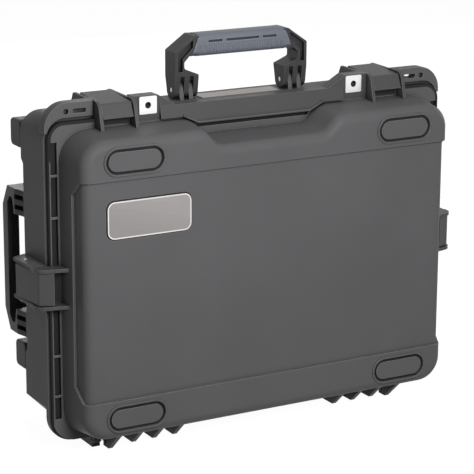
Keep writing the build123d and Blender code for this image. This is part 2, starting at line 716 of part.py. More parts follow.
def side_lug_frame():
    """Turns the lugs of the left-hand handle outward from the case's side."""
    origin = (-SIDE_HANDLE_X, SIDE_HANDLE_Y, SIDE_HANDLE_Z)
    return Plane(origin=origin, x_dir=(0, 0, -1), z_dir=(-1, 0, 0)).location


def base_ribs():
    small = [across(base_rib(HINGE_Z - KNUCKLE_R, BAND_Y1), x, BASE_RIB_T) for x in BASE_RIB_X]
    tall = across(base_rib(0.0, BACK_Y - BASE_FOOT_BACK), BASE_FOOT_X, BASE_FOOT_T)
    return both_sides(Part() + small + tall)


def make_lever():
    """A latch lever: a deep cap, open below, that turns on the knuckle at its rear."""
    y0, y1 = FRONT_Y + LEVER_FRONT, FRONT_Y + LEVER_BACK
    brow = y0 + LEVER_LEAN
    pin_y = FRONT_Y + LATCH_PIN_Y
    side = shape((y0, LEVER_LIP), (brow, LEVER_BROW), (y1, LEVER_TOP), (y1, LATCH_PIN_H),
                 (pin_y, LEVER_FLOOR + 1), (y0 + LEVER_SKIN + 2, LEVER_FLOOR), (y0 + LEVER_SKIN, LEVER_LIP))
    side += Pos(pin_y, LATCH_PIN_H) * Circle(LATCH_KNUCKLE_R)
    lever = across(side, 0, LEVER_W)
    front_top = lever.edges().filter_by(Axis.X).sort_by_distance((0, brow, LEVER_BROW))[0]
    lever = fillet(front_top, LEVER_ROUND)
    end = pin_y - LATCH_KNUCKLE_R - 1
    rise = (LEVER_TOP - LEVER_BROW) * (end - brow) / (y1 - brow)
    front, ceiling = y0 + LEVER_SKIN, LEVER_BROW - LEVER_SKIN
    room = shape((front, LEVER_LIP - 1), (front, LEVER_LIP), (front + LEVER_LEAN, ceiling),
                 (end, ceiling + rise), (end, LEVER_LIP - 1))
    lever -= across(room, 0, LEVER_W - 2 * LEVER_SIDE)
    lever -= rod_x(-LEVER_W, LEVER_W, pin_y, LATCH_PIN_H, LATCH_PIN_R + RUN_CLEAR)
    return lever - rod_x(-LEVER_W, LEVER_W, FRONT_Y + HOOK_PIN_Y, HOOK_PIN_H, HOOK_PIN_R + SEAT_CLEAR)


def make_hook():
    """The draw hook inside a lever, its claw short of the lid's flange."""
    pin_y = FRONT_Y + HOOK_PIN_Y
    tip = FRONT_Y + LEVER_FRONT + LEVER_SKIN + 1.6
    low = HOOK_GAP - LID_FLANGE_STEP
    under, over = HOOK_PIN_H - HOOK_BOSS_R, HOOK_PIN_H + HOOK_BOSS_R
    side = shape((tip, low), (tip + 2.8, low), (tip + 4.4, under), (pin_y, under), (pin_y, over),
                 (tip + 9.0, over - 1.0), (tip + 4.6, over - 1.6), (tip + 0.8, low + 4.0))
    side += Pos(pin_y, HOOK_PIN_H) * Circle(HOOK_BOSS_R)
    return across(side, 0, HOOK_W) - rod_x(-HOOK_W, HOOK_W, pin_y, HOOK_PIN_H, HOOK_PIN_R + SEAT_CLEAR)


def make_hook_pin():
    half = LEVER_W / 2 - 0.2
    return rod_x(-half, half, FRONT_Y + HOOK_PIN_Y, HOOK_PIN_H, HOOK_PIN_R)


def make_latch_pins():
    half = LEVER_W / 2 + LATCH_GAP + LATCH_GUARD_T
    pin = rod_x(-half, half, FRONT_Y + LATCH_PIN_Y, LATCH_PIN_H, LATCH_PIN_R)
    return Part() + [place * pin for place in latch_places().values()]


def make_hinge_pins():
    x0 = LID_RIB_X[0] - RIB_T / 2 - 1.0
    x1 = BASE_FOOT_X + BASE_FOOT_T / 2 - 1.0
    return both_sides(rod_x(x0, x1, PART_Y, HINGE_Z, HINGE_PIN_R))


def make_handle_pins():
    x1 = HANDLE_W / 2 - 0.5
    x0 = HANDLE_W / 2 - CLEVIS_W + 0.5
    pins = both_sides(rod_x(x0, x1, 0, 0, HANDLE_PIN_R))
    return Part() + [place * pins for place in handle_places().values()]


def handle_half_outline(rise, shoulder, bar_h):
    """Front outline of a handle's right arm, X out and Y up from its pin."""
    out = HANDLE_W / 2
    inner, arm = out - CLEVIS_W, out - ARM_W
    under = rise - bar_h + 2
    high = under - ARM_KNEE
    low = min(SLOT_RISE + ARM_HEEL, high - ARM_KNEE)
    outline = shape(
        (out, -HANDLE_FOOT), (out, shoulder), (HANDLE_TOP_HALF, rise), (0, rise), (0, under),
        (arm - ARM_KNEE, under), (arm, high), (arm, low), (inner, SLOT_RISE + 1), (inner, -HANDLE_FOOT),
    )
    bends = outline.vertices().sort_by_distance((arm, (high + low) / 2))[:2]
    return fillet(bends, ARM_ROUND)


def handle_arms(rise, shoulder, bar_h):
    """Both arms and the bar, tapered at the feet in side view."""
    half = slab(handle_half_outline(rise, shoulder, bar_h), -HANDLE_FRONT, HANDLE_BACK)
    side = Circle(HANDLE_FOOT) + shape(
        (-HANDLE_FOOT, 0), (-HANDLE_FRONT, HANDLE_FLARE), (-HANDLE_FRONT, rise),
        (HANDLE_BACK, rise), (HANDLE_BACK, HANDLE_FLARE), (HANDLE_FOOT, 0),
    )
    return both_sides(half & across(side, 0, FAR))


def clevis_room():
    """The lug slots and the pin bores of a handle."""
    low, deep = -HANDLE_FOOT - 5, HANDLE_FRONT + HANDLE_BACK
    slots = [block(x - SLOT_W / 2, x + SLOT_W / 2, -deep, deep, low, SLOT_RISE) for x in slot_places()]
    bore = rod_x(-HANDLE_W, HANDLE_W, 0, 0, HANDLE_PIN_R + RUN_CLEAR)
    return both_sides(Part() + slots) + bore


def make_handle_frame():
    """The top handle's frame, built upright with its pin along X through the origin."""
    frame = handle_arms(HANDLE_RISE, HANDLE_SHOULDER, GRIP_H)
    core = block(-GRIP_HALF, GRIP_HALF, -HANDLE_FRONT - 5, HANDLE_BACK + 5, 0, HANDLE_RISE + 5)
    core -= block(-FAR, FAR, -HANDLE_FRONT + 7, HANDLE_BACK - 7, 0, HANDLE_RISE - 6)
    out, low, head = HANDLE_W / 2 - POCKET_RIM, SLOT_RISE + 5, HANDLE_TOP_HALF + 2
    inner = out - POCKET_W
    pocket = shape((out, low), (out, HANDLE_SHOULDER - 1), (head, HANDLE_RISE - 4),
                   (head, HANDLE_RISE - 12), (inner, HANDLE_SHOULDER - 8), (inner, low))
    frame -= both_sides(slab(pocket, -HANDLE_FRONT - 1, -HANDLE_FRONT + POCKET_D))
    return frame - core - clevis_room()


def make_side_handle():
    """A side handle in one piece: the same arms and a slim bar set back between them."""
    frame = handle_arms(SIDE_RISE, SIDE_SHOULDER, SIDE_BAR_H)
    step = block(-GRIP_HALF, GRIP_HALF, -HANDLE_FRONT - 1, SIDE_BAR_STEP - HANDLE_FRONT, 0, SIDE_RISE + 1)
    return frame - step - clevis_room()


def make_grip():
    """The soft grip round the top handle's bar, with three slots in its front."""
    z0, z1 = HANDLE_RISE - GRIP_H, HANDLE_RISE + GRIP_PROUD
    y0, y1 = -HANDLE_FRONT - GRIP_PROUD, HANDLE_BACK + GRIP_PROUD
    end = GRIP_HALF + GRIP_SLANT
    front = slab(shape((-GRIP_HALF, z1), (GRIP_HALF, z1), (end, z0), (-end, z0)), y0, y1)
    section = Pos((y0 + y1) / 2, (z0 + z1) / 2) * RectangleRounded(y1 - y0, z1 - z0, GRIP_ROUND)
    grip = front & across(section, 0, FAR)
    z = GRIP_SLOT_Z
    for x0, x1 in GRIP_SLOTS:
        grip -= block(x0, x1, y0 - 1, y0 + GRIP_SLOT_D, z - GRIP_SLOT_H / 2, z + GRIP_SLOT_H / 2)
    return grip


def name_groove():
    """Narrow groove round the name plate."""
    wide, high = NAME_W + 2 * NAME_EDGE, NAME_H + 2 * NAME_EDGE
    outer = RectangleRounded(wide, high, NAME_ROUND + NAME_EDGE)
    return Pos(NAME_X, NAME_Z) * (outer - RectangleRounded(NAME_W, NAME_H, NAME_ROUND))


def make_name_plate():
    y1 = FRONT_Y + PANEL_STEP
    plate = Pos(NAME_X, NAME_Z) * RectangleRounded(NAME_W, NAME_H, NAME_ROUND)
    return slab(plate, y1 - NAME_T, y1)


def make_top_label():
    return Pos(0, LABEL_Y, LAND_Z + LABEL_T / 2) * Box(LABEL_W, LABEL_D, LABEL_T)


def make_lid_seal():
    return slab(seal_ring(), LID_BACK - SEAL_T, LID_BACK)


def build_all():
    nodes = {
        "lid_shell": make_lid_shell(),
        "lid_apron": make_lid_apron(),
        "lid_latch_guards": make_lid_latch_guards(),
        "base_shell": make_base_shell(),
        "base_tabs": make_base_tabs(),
        "hinge_pins": make_hinge_pins(),
        "latch_pins": make_latch_pins(),
        "handle_pins": make_handle_pins(),
        "lid_padlock_plates": plate_pair(LID_BACK - TAB_T - PLATE_T),
        "base_padlock_plates": plate_pair(BASE_FRONT + TAB_T),
        "lid_seal": make_lid_seal(),
        "name_plate": make_name_plate(),
        "top_label": make_top_label(),
    }
    lever, hook, hook_pin = make_lever(), make_hook(), make_hook_pin()
    for name, place in latch_places().items():
        nodes[f"latch_lever_{name}"] = place * lever
        nodes[f"latch_hook_{name}"] = place * hook
        nodes[f"hook_pin_{name}"] = place * hook_pin
    places, frame, side_handle = handle_places(), make_handle_frame(), make_side_handle()
    nodes["handle_frame_top"] = places["top"] * frame
    nodes["handle_grip_top"] = places["top"] * (make_grip() - frame)
    for name in ("side_left", "side_right"):
        nodes[f"handle_frame_{name}"] = places[name] * side_handle
    return nodes


os.makedirs("parts", exist_ok=True)
for node, solid in build_all().items():
    export_step(solid, f"parts/{node}.step")
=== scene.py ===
import json
import math

import bpy
from mathutils import Euler, Matrix, Vector


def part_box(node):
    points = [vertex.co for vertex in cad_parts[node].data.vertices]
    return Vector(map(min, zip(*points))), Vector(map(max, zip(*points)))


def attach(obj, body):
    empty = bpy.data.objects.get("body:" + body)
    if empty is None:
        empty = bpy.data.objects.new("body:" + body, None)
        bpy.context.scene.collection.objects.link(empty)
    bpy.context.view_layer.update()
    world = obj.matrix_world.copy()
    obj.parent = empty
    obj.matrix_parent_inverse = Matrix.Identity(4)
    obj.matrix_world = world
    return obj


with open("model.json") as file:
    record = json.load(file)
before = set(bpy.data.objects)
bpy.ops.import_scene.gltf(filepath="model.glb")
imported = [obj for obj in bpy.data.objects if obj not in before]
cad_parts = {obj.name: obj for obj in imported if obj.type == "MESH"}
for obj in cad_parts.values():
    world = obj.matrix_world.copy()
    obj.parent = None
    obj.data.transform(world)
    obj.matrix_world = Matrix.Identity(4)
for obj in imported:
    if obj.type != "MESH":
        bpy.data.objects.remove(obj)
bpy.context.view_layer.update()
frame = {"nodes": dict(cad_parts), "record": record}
MM = 0.001

# Photograph's camera: its place, aim and lens
CAMERA_AT = (-1.0455, -1.8645, 0.7740)
CAMERA_YAW = 29.40          # degrees to the right of straight back
CAMERA_PITCH = 15.07        # degrees down
CAMERA_ROLL = 0.246
CAMERA_LENS = 153.2
CAMERA_SENSOR = 36.0
CAMERA_REACH = 100.0

# Studio: each lamp's name, place, size and power, and the level of the light from all round
LAMPS_AIM = (0.0, 0.0, 0.2)
LAMPS = [
    ("key", (-0.14, -1.05, 0.72), (0.5, 0.4), 14.5),
    ("top", (0.2, 0.0, 1.9), (1.6, 1.2), 5.0),
    ("strip", (-2.2, -0.6, 0.9), (0.15, 1.4), 2.0),
    ("back", (0.3, 2.4, 0.42), (1.2, 0.6), 18.0),
    ("right", (2.4, 0.5, 0.6), (0.8, 0.8), 12.0),
]
WORLD_LEVEL = 0.10
WHITE = (1.0, 1.0, 1.0, 1.0)

# Floor: its colour, the glow that makes it white, and the share of the view that passes it,
# so that the lid shows when it hangs open below
FLOOR_HALF = 30.0
FLOOR_DROP = 0.5 * MM
FLOOR_COLOUR = (0.30, 0.30, 0.30)
FLOOR_ROUGH = 0.9
FLOOR_GLOW = 0.93
FLOOR_CLEAR = 0.5

# Moulded plastic: rounded edges, rubbed smoother and made paler by a painted highlight
EDGE_RADIUS = 0.9 * MM
EDGE_SAMPLES = 6
EDGE_TURN = (0.995, 0.85)   # cosine of the turn of the normal, from flat to edge
# how much paler the painted highlight makes the edges
EDGE_HIGHLIGHT_PALER = 2.6
EDGE_SMOOTHER = 0.16

# Moulded plastic: painted shade in grooves and crevices, whose dark tone also colours the label's printed
# border
SHADE_AND_PRINT_DARKER = 0.22
CREVICE_REACH = 9.0 * MM
CREVICE_SAMPLES = 5
CREVICE_SKY = (0.72, 0.30)  # share of open sky where a crevice starts to darken, and where it is darkest

# Moulded plastic: clouds in the colour, patches in the gloss, and fine grain
CLOUD_SCALE, CLOUD_DETAIL = 9.0, 4.0
CLOUD_STOPS = (0.3, 0.7)
PATCH_SCALE, PATCH_DETAIL = 45.0, 5.0
PATCH_SPREAD = (-0.05, 0.07)
GRAIN_DETAIL, GRAIN_MIX = 2.0, 0.6
GRAIN_STRENGTH = 0.35
GRAIN_DEPTH = 0.3 * MM

# Brushed metal
BRUSH_SCALE = 6.0
BRUSH_STOPS = (0.35, 0.65)
BRUSH_DARKER = 0.86
BRUSH_STRENGTH = 0.15
BRUSH_DEPTH = 0.1 * MM
FINE_BRUSH = (30.0, 30.0, 900.0)
LONG_BRUSH = (8.0, 8.0, 900.0)

# Name plate and label
PLATE_ROUND = 8.0 * MM
PLATE_FACE = (0.30, 0.287, 0.283)
# Painted shade on the plate's face towards its lower left, and a painted highlight on its rim
PLATE_SHADE = (0.20, 0.19, 0.19)
PLATE_RIM_HIGHLIGHT = (0.62, 0.60, 0.58)
PLATE_SLOPE = 0.4           # how much the plate's shade leans to its left end
PLATE_SHADED = 0.6
LABEL_ROUND = 3.0 * MM

# Lid's face, panel and flange
LID_FACE = -89.0 * MM
PANEL_FACE = -86.0 * MM
FLANGE_FACE = -42.3 * MM
FLANGE_SIDE = 237.6 * MM
FLANGE_TOP = 356.3 * MM
FLANGE_MIDDLE = 185.7 * MM
FLANGE_ROUND = 17.6 * MM

# Oval rings on the lid's face
OVAL_X = 163.0 * MM
OVAL_LOW = 47.2 * MM        # middle of the lower pair
OVAL_SPAN = 273.1 * MM      # from the lower pair to the upper pair
OVAL_LENGTH = 65.0 * MM
OVAL_HEIGHT = 25.5 * MM
OVAL_STEPS = 24
BEAD_WIDTH = 2.8 * MM
BEAD_HEIGHT = 1.4 * MM

# Latches and corner guards that stand over the flange, and how far their shade shows on it
LATCH_X = 163.6 * MM
LATCH_HALF = 17.6 * MM
TOP_LATCH_SHADE = 8.5 * MM
SIDE_LATCH_SHADE = 12.0 * MM
GUARD_FROM = (186.0 * MM, 318.0 * MM)

# Fades of the masks: where each starts and where it is full, from the edge or face it belongs to
RING_OUTSIDE = (0.1 * MM, -0.2 * MM)
RING_INSIDE = (-2.9 * MM, -2.6 * MM)
RING_DEPTH = (0.2 * MM, 0.7 * MM)
CHANNEL_DEPTH = (0.5 * MM, 1.8 * MM)
FLANGE_DEPTH = (-1.5 * MM, -0.5 * MM)
LATCH_SIDE = (0.0, -0.5 * MM)
LATCH_EDGE = (0.0, 1.5 * MM)
GUARD_START = (-3.0 * MM, 0.0)
GUARD_STRIP = (-3.4 * MM, -2.8 * MM)
EDGE_STRIP = (-1.0 * MM, -0.6 * MM)
PLATE_GAP_INSIDE = (-0.3 * MM, 0.0)
PLATE_GAP_OUTSIDE = (1.5 * MM, 1.1 * MM)
PLATE_GAP_DEPTH = (2.0 * MM, 1.5 * MM)
PLATE_RIM_INSIDE = (-1.5 * MM, -1.1 * MM)
LABEL_BORDER_INSIDE = (-1.7 * MM, -1.4 * MM)
SLOT_SIDE = (0.2 * MM, 0.0)
SLOT_DEPTH = (0.2 * MM, 0.7 * MM)
SLOT_END = (3.0 * MM, 2.5 * MM)

# Rounded edge along the lower side of the apron's lip
LIP_FACE = -46.6 * MM
LIP_LOW = (68.0 * MM, 341.0 * MM)
LIP_SIDE = (86.0 * MM, 349.5 * MM)
LIP_WIDTH = 2.6 * MM
LIP_HEIGHT = 1.2 * MM

# Slots and ribs of the top grip
GRIP_ROUND = 6.5 * MM
GRIP_STEPS = 6
GRIP_SLOT_Z = 421.4 * MM
GRIP_SLOT_HALF = 1.35 * MM
GRIP_RIB_TOP = 417.6 * MM
GRIP_RIB_REACH = 53.2 * MM  # from the grip's middle to the last rib
GRIP_RIB_PITCH = 2.8 * MM
GRIP_RIB_WIDTH = 1.5 * MM
GRIP_RIB_HEIGHT = 0.55 * MM

# Section of every ridge
RIDGE_STEPS = 8
RIDGE_ROOT = 0.4            # depth of its root under the surface, as a share of its height


def link(tree, a, out, b, into):
    tree.links.new(a.outputs[out], b.inputs[into])


def new_material(name, rough=0.5, metal=0.0):
    """A material with its roughness and metallic level set."""
    material = bpy.data.materials.new(name)
    material.use_nodes = True
    tree = material.node_tree
    shader = tree.nodes["Principled BSDF"]
    shader.inputs["Roughness"].default_value = rough
    shader.inputs["Metallic"].default_value = metal
    return material, tree, shader


def noise(tree, coords, scale, detail, rough=0.5):
    node = tree.nodes.new("ShaderNodeTexNoise")
    node.inputs["Scale"].default_value = scale
    node.inputs["Detail"].default_value = detail
    node.inputs["Roughness"].default_value = rough
    link(tree, coords, "Object", node, "Vector")
    return node


def ramp(tree, source, stops, colours):
    """A noise turned into a colour that goes from the first to the second between the stops."""
    node = tree.nodes.new("ShaderNodeValToRGB")
    for element, at, colour in zip(node.color_ramp.elements, stops, colours):
        element.position = at
        element.color = (*colour, 1.0)
    link(tree, source, "Fac", node, "Fac")
    return node.outputs["Color"]


def calc(tree, operation, a, b=None):
    """One step of arithmetic on sockets or numbers, as the socket that holds its result."""
    node = tree.nodes.new("ShaderNodeMath")
    node.operation = operation
    for index, value in enumerate((a, b)):
        if value is None:
            continue
        if isinstance(value, (int, float)):
            node.inputs[index].default_value = value
        else:
            tree.links.new(value, node.inputs[index])
    return node.outputs["Value"]


def either(tree, first, *others):
    """The largest of several masks."""
    for other in others:
        first = calc(tree, "MAXIMUM", first, other)
    return first


def every(tree, first, *others):
    """Several masks multiplied together."""
    for other in others:
        first = calc(tree, "MULTIPLY", first, other)
    return first


def away(tree, value, middle):
    """How far a value is from the middle, on either side."""
    return calc(tree, "ABSOLUTE", calc(tree, "SUBTRACT", value, middle))


def fade(tree, value, stops, edge=0.0):
    """0 at the first stop and 1 at the second, clamped; both are measured from the edge."""
    node = tree.nodes.new("ShaderNodeMapRange")
    node.inputs["From Min"].default_value = edge + stops[0]
    node.inputs["From Max"].default_value = edge + stops[1]
    tree.links.new(value, node.inputs["Value"])
    return node.outputs["Result"]


def axes(tree, coords):
    node = tree.nodes.new("ShaderNodeSeparateXYZ")
    link(tree, coords, "Object", node, "Vector")
    return node.outputs["X"], node.outputs["Y"], node.outputs["Z"]


def rounded_distance(tree, across, up, centre, half, radius):
    """Distance outside a rounded rectangle, in metres; inside it, negative down to the radius."""
    reach = []
    for value, middle, side in zip((across, up), centre, half):
        past = calc(tree, "SUBTRACT", away(tree, value, middle), side - radius)
        reach.append(calc(tree, "MAXIMUM", past, 0.0))
    squares = [calc(tree, "MULTIPLY", value, value) for value in reach]
    return calc(tree, "SUBTRACT", calc(tree, "SQRT", calc(tree, "ADD", *squares)), radius)


def outline_distance(tree, coords, node, plane, radius):
    """Distance outside a thin node's rounded outline, in the plane of the two named axes."""
    low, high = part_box(node)
    picked = ["XYZ".index(axis) for axis in plane]
    places = axes(tree, coords)
    across, up = [places[index] for index in picked]
    centre = [(low[index] + high[index]) / 2 for index in picked]
    half = [(high[index] - low[index]) / 2 for index in picked]
    return rounded_distance(tree, across, up, centre, half, radius)


def tint(tree, mask, base, colour):
    """The base colour, or the given one where the mask is 1."""
    node = tree.nodes.new("ShaderNodeMix")
    node.data_type = "RGBA"
    node.inputs["B"].default_value = (*colour, 1.0)
    tree.links.new(mask, node.inputs["Factor"])
    tree.links.new(base, node.inputs["A"])
    return node.outputs["Result"]


def bump(tree, shader, heights, strength, distance):
    node = tree.nodes.new("ShaderNodeBump")
    node.inputs["Strength"].default_value = strength
    node.inputs["Distance"].default_value = distance
    link(tree, heights, "Fac", node, "Height")
    link(tree, node, "Normal", shader, "Normal")
    return node


def rounded_edges(tree):
    """Normals as the small radius of a moulded edge turns them, and a mask of those edges."""
    soft = tree.nodes.new("ShaderNodeBevel")
    soft.samples = EDGE_SAMPLES
    soft.inputs["Radius"].default_value = EDGE_RADIUS
    plain = tree.nodes.new("ShaderNodeNewGeometry")
    same = tree.nodes.new("ShaderNodeVectorMath")
    same.operation = "DOT_PRODUCT"
    link(tree, soft, "Normal", same, 0)
    link(tree, plain, "Normal", same, 1)
    return soft, fade(tree, same.outputs["Value"], EDGE_TURN)


def crevices(tree):
    """1 deep in narrow gaps and inside corners, where shade is painted, and 0 on open surfaces."""
    sky = tree.nodes.new("ShaderNodeAmbientOcclusion")
    sky.samples = CREVICE_SAMPLES
    sky.inputs["Distance"].default_value = CREVICE_REACH
    return fade(tree, sky.outputs["AO"], CREVICE_SKY)


def oval_rings(tree, across, y, z):
    """1 in the four ring grooves, where shade is painted; they lie alike about the face's two middle
    lines.
    """
    up = away(tree, z, OVAL_LOW + OVAL_SPAN / 2)
    half = (OVAL_LENGTH / 2, OVAL_HEIGHT / 2)
    gap = rounded_distance(tree, across, up, (OVAL_X, OVAL_SPAN / 2), half, OVAL_HEIGHT / 2)
    return every(tree, fade(tree, gap, RING_OUTSIDE), fade(tree, gap, RING_INSIDE),
                 fade(tree, y, RING_DEPTH, LID_FACE))


def under_latches(tree, across, z):
    """1 on the strip of flange that each latch lever stands over, where its shadow is painted."""
    top = every(tree, fade(tree, away(tree, across, LATCH_X), LATCH_SIDE, LATCH_HALF),
                fade(tree, z, LATCH_EDGE, FLANGE_TOP - TOP_LATCH_SHADE))
    side = every(tree, fade(tree, away(tree, z, FLANGE_MIDDLE), LATCH_SIDE, LATCH_HALF),
                 fade(tree, across, LATCH_EDGE, FLANGE_SIDE - SIDE_LATCH_SHADE))
    return either(tree, top, side)


def under_guards(tree, across, z):
    """1 along the flange's edge, where shadow is painted: a wide strip under the upper corner guards and a
    narrow one elsewhere.
    """
    half = (FLANGE_SIDE, FLANGE_TOP - FLANGE_MIDDLE)
    gap = rounded_distance(tree, across, z, (0.0, FLANGE_MIDDLE), half, FLANGE_ROUND)
    wide = every(tree, fade(tree, across, GUARD_START, GUARD_FROM[0]),
                 fade(tree, z, GUARD_START, GUARD_FROM[1]), fade(tree, gap, GUARD_STRIP))
    return either(tree, wide, fade(tree, gap, EDGE_STRIP))


def plate_gap(tree, coords):
    """1 in the narrow gap round the name plate, where shade is painted."""
    gap = outline_distance(tree, coords, "name_plate", "XZ", PLATE_ROUND)
    return every(tree, fade(tree, gap, PLATE_GAP_INSIDE), fade(tree, gap, PLATE_GAP_OUTSIDE))


def lid_painted_shade(tree, coords):
    """1 in the lid's grooves and channels and in the gaps under latches, guards and name plate, where
    shade and shadow are painted.
    """
    x, y, z = axes(tree, coords)
    across = calc(tree, "ABSOLUTE", x)
    rings = oval_rings(tree, across, y, z)
    channels = fade(tree, y, CHANNEL_DEPTH, FLANGE_FACE)
    covered = either(tree, under_latches(tree, across, z), under_guards(tree, across, z))
    covered = every(tree, covered, fade(tree, y, FLANGE_DEPTH, FLANGE_FACE))
    around = every(tree, plate_gap(tree, coords), fade(tree, y, PLATE_GAP_DEPTH, PANEL_FACE))
    return either(tree, rings, channels, covered, around)


def grip_slot_shade(tree, coords):
    """1 in the three slots of the grip's face, where shade is painted."""
    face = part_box("handle_grip_top")[0][1]
    y, z = axes(tree, coords)[1:]
    off = away(tree, z, GRIP_SLOT_Z)
    return every(tree, fade(tree, off, SLOT_SIDE, GRIP_SLOT_HALF), fade(tree, y, SLOT_DEPTH, face),
                 fade(tree, y, SLOT_END, face))


def label_border(tree, coords):
    """1 in the narrow dark border of the top label."""
    gap = outline_distance(tree, coords, "top_label", "XY", LABEL_ROUND)
    return fade(tree, gap, LABEL_BORDER_INSIDE)


def moulded_plastic(name, colours, rough, grain=900.0, gloss=0.09, grooves=None):
    """Matt moulded plastic: cloudy colour, spark-eroded grain, edges rubbed smoother and made paler by a
    painted highlight, and painted shade in crevices.
    """
    dark, light = colours
    material, tree, shader = new_material(name, rough)
    coords = tree.nodes.new("ShaderNodeTexCoord")
    shader.inputs["Specular IOR Level"].default_value = gloss
    soft, edges = rounded_edges(tree)
    cloud = noise(tree, coords, CLOUD_SCALE, CLOUD_DETAIL)
    colour = ramp(tree, cloud, CLOUD_STOPS, colours)
    # painted highlight: the edges made paler
    colour = tint(tree, edges, colour, [EDGE_HIGHLIGHT_PALER * part for part in light])
    # dark tone for the painted shade in crevices and recesses, and for the label's printed border
    shade = [SHADE_AND_PRINT_DARKER * part for part in dark]
    # painted shade in narrow gaps and inside corners
    colour = tint(tree, crevices(tree), colour, shade)
    # painted shade in the lid's and grip's recesses; on the label, its printed border instead
    if grooves:
        colour = tint(tree, grooves(tree, coords), colour, shade)
    tree.links.new(colour, shader.inputs["Base Color"])
    patchy = noise(tree, coords, PATCH_SCALE, PATCH_DETAIL)
    uneven = tree.nodes.new("ShaderNodeMapRange")
    uneven.inputs["To Min"].default_value = rough + PATCH_SPREAD[0]
    uneven.inputs["To Max"].default_value = rough + PATCH_SPREAD[1]
    link(tree, patchy, "Fac", uneven, "Value")
    smoother = calc(tree, "MULTIPLY", edges, EDGE_SMOOTHER)
    tree.links.new(calc(tree, "SUBTRACT", uneven.outputs["Result"], smoother), shader.inputs["Roughness"])
    fine = noise(tree, coords, grain, GRAIN_DETAIL, GRAIN_MIX)
    grainy = bump(tree, shader, fine, GRAIN_STRENGTH, GRAIN_DEPTH)
    link(tree, soft, "Normal", grainy, "Normal")
    return material


def grey(value):
    """A dark grey with a trace of blue."""
    return (value, value * 0.985, value * 1.02)


def plate_painted_light(tree, coords, colour):
    """A painted highlight as a pale rim round the name plate, and painted shade that makes its face a
    little darker towards the lower left.
    """
    low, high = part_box("name_plate")
    x, z = axes(tree, coords)[::2]
    slope = calc(tree, "ADD", calc(tree, "MULTIPLY", x, PLATE_SLOPE), z)
    shade = fade(tree, slope, (high[2], low[2]), PLATE_SLOPE * (low[0] + high[0]) / 2)
    # painted shade towards the plate's lower left
    colour = tint(tree, calc(tree, "MULTIPLY", shade, PLATE_SHADED), colour, PLATE_SHADE)
    gap = outline_distance(tree, coords, "name_plate", "XZ", PLATE_ROUND)
    # painted highlight along the plate's rim
    return tint(tree, fade(tree, gap, PLATE_RIM_INSIDE), colour, PLATE_RIM_HIGHLIGHT)


def brushed_metal(name, base, rough, stretch=FINE_BRUSH, rim=None):
    """Metal with fine brush lines; rim, if given, recolours it with painted light: on the name plate, a
    highlight at its edge and shade across its face.
    """
    material, tree, shader = new_material(name, rough, 1.0)
    coords = tree.nodes.new("ShaderNodeTexCoord")
    drawn = tree.nodes.new("ShaderNodeMapping")
    drawn.inputs["Scale"].default_value = stretch
    link(tree, coords, "Object", drawn, "Vector")
    lines = tree.nodes.new("ShaderNodeTexNoise")
    lines.inputs["Scale"].default_value = BRUSH_SCALE
    link(tree, drawn, "Vector", lines, "Vector")
    darker = [BRUSH_DARKER * part for part in base]
    colour = ramp(tree, lines, BRUSH_STOPS, (darker, base))
    if rim:
        # painted light: highlight on the rim, shade on the face
        colour = rim(tree, coords, colour)
    tree.links.new(colour, shader.inputs["Base Color"])
    bump(tree, shader, lines, BRUSH_STRENGTH, BRUSH_DEPTH)
    return material


def make_materials():
    """Every material by its name."""
    case = (grey(0.084), grey(0.094))
    latch = (grey(0.056), grey(0.064))
    handle = (grey(0.038), grey(0.045))
    hook = (grey(0.030), grey(0.036))
    seal = (grey(0.018), grey(0.024))
    grip = ((0.105, 0.118, 0.14), (0.125, 0.138, 0.164))
    label = ((0.42, 0.385, 0.37), (0.47, 0.43, 0.41))
    steel = (0.62, 0.61, 0.60)
    bright_steel = (0.90, 0.90, 0.89)
    moulded = {
        "case_plastic": dict(colours=case, rough=0.50),
        # lid plastic: the case plastic with painted shade and shadow in the lid's recesses
        "lid_plastic": dict(colours=case, rough=0.50, grooves=lid_painted_shade),
        "latch_plastic": dict(colours=latch, rough=0.42, grain=1100.0, gloss=0.13),
        "hook_plastic": dict(colours=hook, rough=0.5),
        "handle_plastic": dict(colours=handle, rough=0.42, grain=1100.0, gloss=0.12),
        # grip rubber with painted shade in its slots
        "grip_rubber": dict(colours=grip, rough=0.5, grain=700.0, gloss=0.3, grooves=grip_slot_shade),
        "seal_rubber": dict(colours=seal, rough=0.7, grain=500.0),
        "label_face": dict(colours=label, rough=0.4, grooves=label_border),
    }
    brushed = {
        "steel_pin": dict(base=steel, rough=0.3),
        "padlock_steel": dict(base=bright_steel, rough=0.35),
        "name_plate_face": dict(base=PLATE_FACE, rough=0.4, stretch=LONG_BRUSH, rim=plate_painted_light),
    }
    materials = {name: moulded_plastic(name, **look) for name, look in moulded.items()}
    materials.update({name: brushed_metal(name, **look) for name, look in brushed.items()})
    return materials


def dress_nodes(materials):
    """Each node's material: the one of its slot, apart from three parts of the lid."""
    slots = {row["node"]: row["material_slot"] for row in frame["record"]["subparts"]}
    looks = {"lid_shell": "lid_plastic", "lid_apron": "latch_plastic", "lid_latch_guards": "latch_plastic"}
    for node, piece in frame["nodes"].items():
        look = looks.get(node, slots[node])
        piece.data.materials.clear()
        piece.data.materials.append(materials[look])


